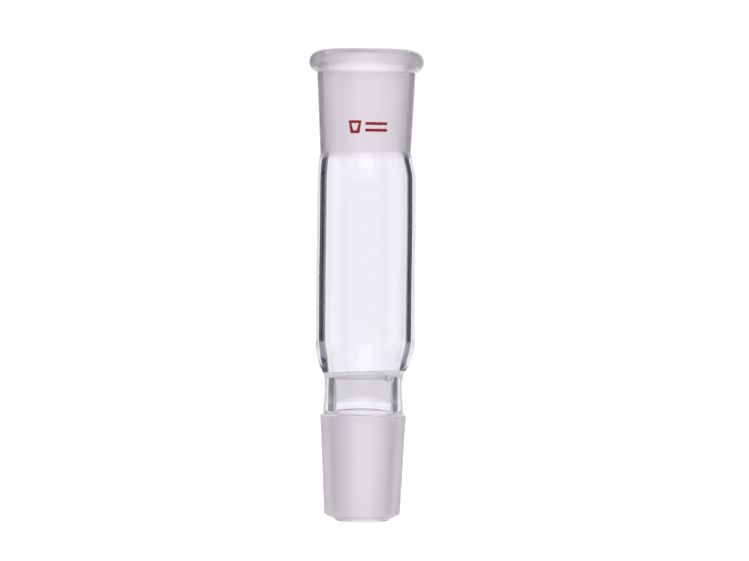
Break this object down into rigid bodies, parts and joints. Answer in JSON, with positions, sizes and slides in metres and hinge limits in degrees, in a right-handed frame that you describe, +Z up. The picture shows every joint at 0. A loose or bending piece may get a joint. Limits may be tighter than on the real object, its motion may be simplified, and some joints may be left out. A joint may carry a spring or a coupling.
{
  "type": "straight glass air condenser",
  "caption": "Straight glass air condenser tube with a beaded ground socket above, a clear body, a rounded shoulder and a ground cone below.",
  "frame": {"origin": "centre of the circle that the cone's lip stands on, at the bottom of the part", "axes": "+Z up the tube's axis from the cone to the socket; the enamel mark is on the -Y side"},
  "size_m": [0.0256, 0.0256, 0.1044],
  "materials": {
    "clear_glass": "clear fire-polished borosilicate glass",
    "ground_bore_glass": "glossy outside, finely ground bore",
    "ground_glass": "finely ground outside, matt, with fine rings round the axis",
    "red_enamel": "fired red enamel, satin gloss"
  },
  "bodies": {
    "root": {"rim_bead": "ground_bore_glass", "socket_joint": "ground_bore_glass", "body_tube": "clear_glass", "neck_tube": "clear_glass", "ground_cone": "ground_glass", "size_mark": "red_enamel"}
  },
  "joints": []
}
